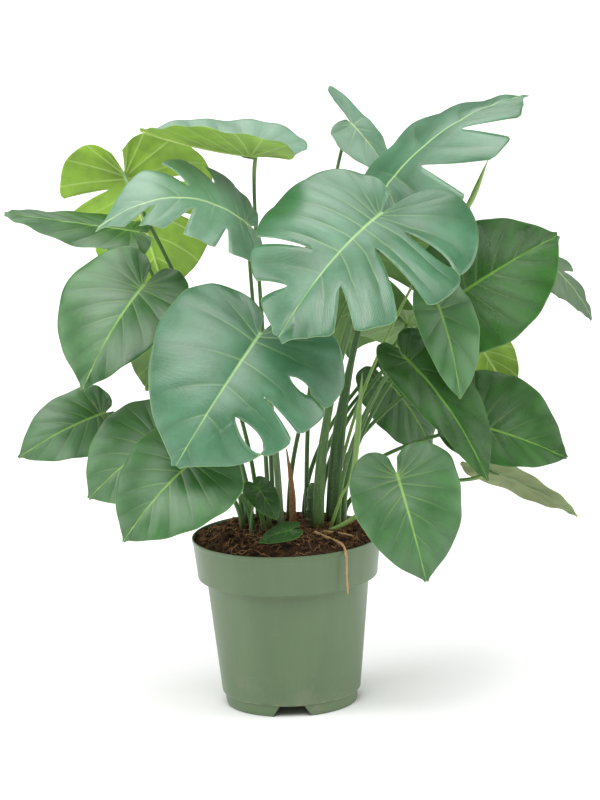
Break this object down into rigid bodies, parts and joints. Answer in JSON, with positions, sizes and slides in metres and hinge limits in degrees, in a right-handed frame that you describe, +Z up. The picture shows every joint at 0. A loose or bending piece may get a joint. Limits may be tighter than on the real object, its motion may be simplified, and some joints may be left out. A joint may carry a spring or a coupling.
{
  "type": "potted monstera plant",
  "caption": "Bushy potted monstera: split and heart-shaped leaves on long stalks above a round tapered nursery pot with a deep rim, filled with soil; stands on a floor or shelf.",
  "frame": {"origin": "centre of the pot's underside, on the surface that the pot stands on", "axes": "+Z up along the pot's axis; -Y is the side the plant is shown from; +X is to the right in that view"},
  "size_m": [0.8307, 0.608, 0.8543],
  "materials": {
    "pot_plastic": "satin moulded sage-green plastic with faint vertical flow marks",
    "potting_soil": "loose dark coir, bark and peat crumbs with pale fibres",
    "stem_skin": "ribbed green stem skin with brown nodes",
    "root_bark": "dry tan root bark, finely scaly",
    "dry_sheath": "papery brown dried sheath",
    "new_leaf": "soft glossy yellow-green, rolled",
    "stalk_skin": "smooth satin green leaf stalk with a shallow channel",
    "leaf_blue_green": "waxy blue-green leaf, pale midrib and side veins",
    "leaf_mid_green": "satin mid-green leaf, pale midrib and side veins",
    "leaf_dark_green": "glossy dark green leaf, pale midrib and side veins",
    "leaf_lime": "lighter yellow-green leaf seen from its matt underside"
  },
  "bodies": {
    "root": {"aerial_root_long": "root_bark", "aerial_root_short": "root_bark", "blade_back_large": "leaf_blue_green", "blade_back_left": "leaf_mid_green", "blade_back_right": "leaf_mid_green", "blade_far_left": "leaf_mid_green", "blade_far_right": "leaf_mid_green", "blade_front_large": "leaf_blue_green", "blade_front_left_large": "leaf_blue_green", "blade_front_left_low": "leaf_mid_green", "blade_front_right_low": "leaf_mid_green", "blade_inner_right": "leaf_dark_green", "blade_left_dark": "leaf_dark_green", "blade_left_grey": "leaf_mid_green", "blade_left_low": "leaf_mid_green", "blade_left_split": "leaf_blue_green", "blade_right_centre": "leaf_mid_green", "blade_right_dark": "leaf_dark_green", "blade_right_lime": "leaf_lime", "blade_right_long": "leaf_dark_green", "blade_right_low_dark": "leaf_dark_green", "blade_right_pale": "leaf_lime", "blade_seedling_front": "leaf_dark_green", "blade_seedling_left": "leaf_dark_green", "blade_top_centre": "leaf_blue_green", "blade_top_left": "leaf_blue_green", "blade_top_right": "leaf_blue_green", "blade_yellow_green": "leaf_lime", "dried_sheath": "dry_sheath", "main_stem": "stem_skin", "pot": "pot_plastic", "rolled_leaf_centre": "new_leaf", "rolled_leaf_right": "new_leaf", "soil": "potting_soil", "stalk_back_large": "stalk_skin", "stalk_back_left": "stalk_skin", "stalk_back_right": "stalk_skin", "stalk_far_left": "stalk_skin", "stalk_far_right": "stalk_skin", "stalk_front_large": "stalk_skin", "stalk_front_left_large": "stalk_skin", "stalk_front_left_low": "stalk_skin", "stalk_front_right_low": "stalk_skin", "stalk_inner_right": "stalk_skin", "stalk_left_dark": "stalk_skin", "stalk_left_grey": "stalk_skin", "stalk_left_low": "stalk_skin", "stalk_left_split": "stalk_skin", "stalk_right_centre": "stalk_skin", "stalk_right_dark": "stalk_skin", "stalk_right_lime": "stalk_skin", "stalk_right_long": "stalk_skin", "stalk_right_low_dark": "stalk_skin", "stalk_right_pale": "stalk_skin", "stalk_seedling_front": "stalk_skin", "stalk_seedling_left": "stalk_skin", "stalk_top_centre": "stalk_skin", "stalk_top_left": "stalk_skin", "stalk_top_right": "stalk_skin", "stalk_yellow_green": "stalk_skin"}
  },
  "joints": []
}
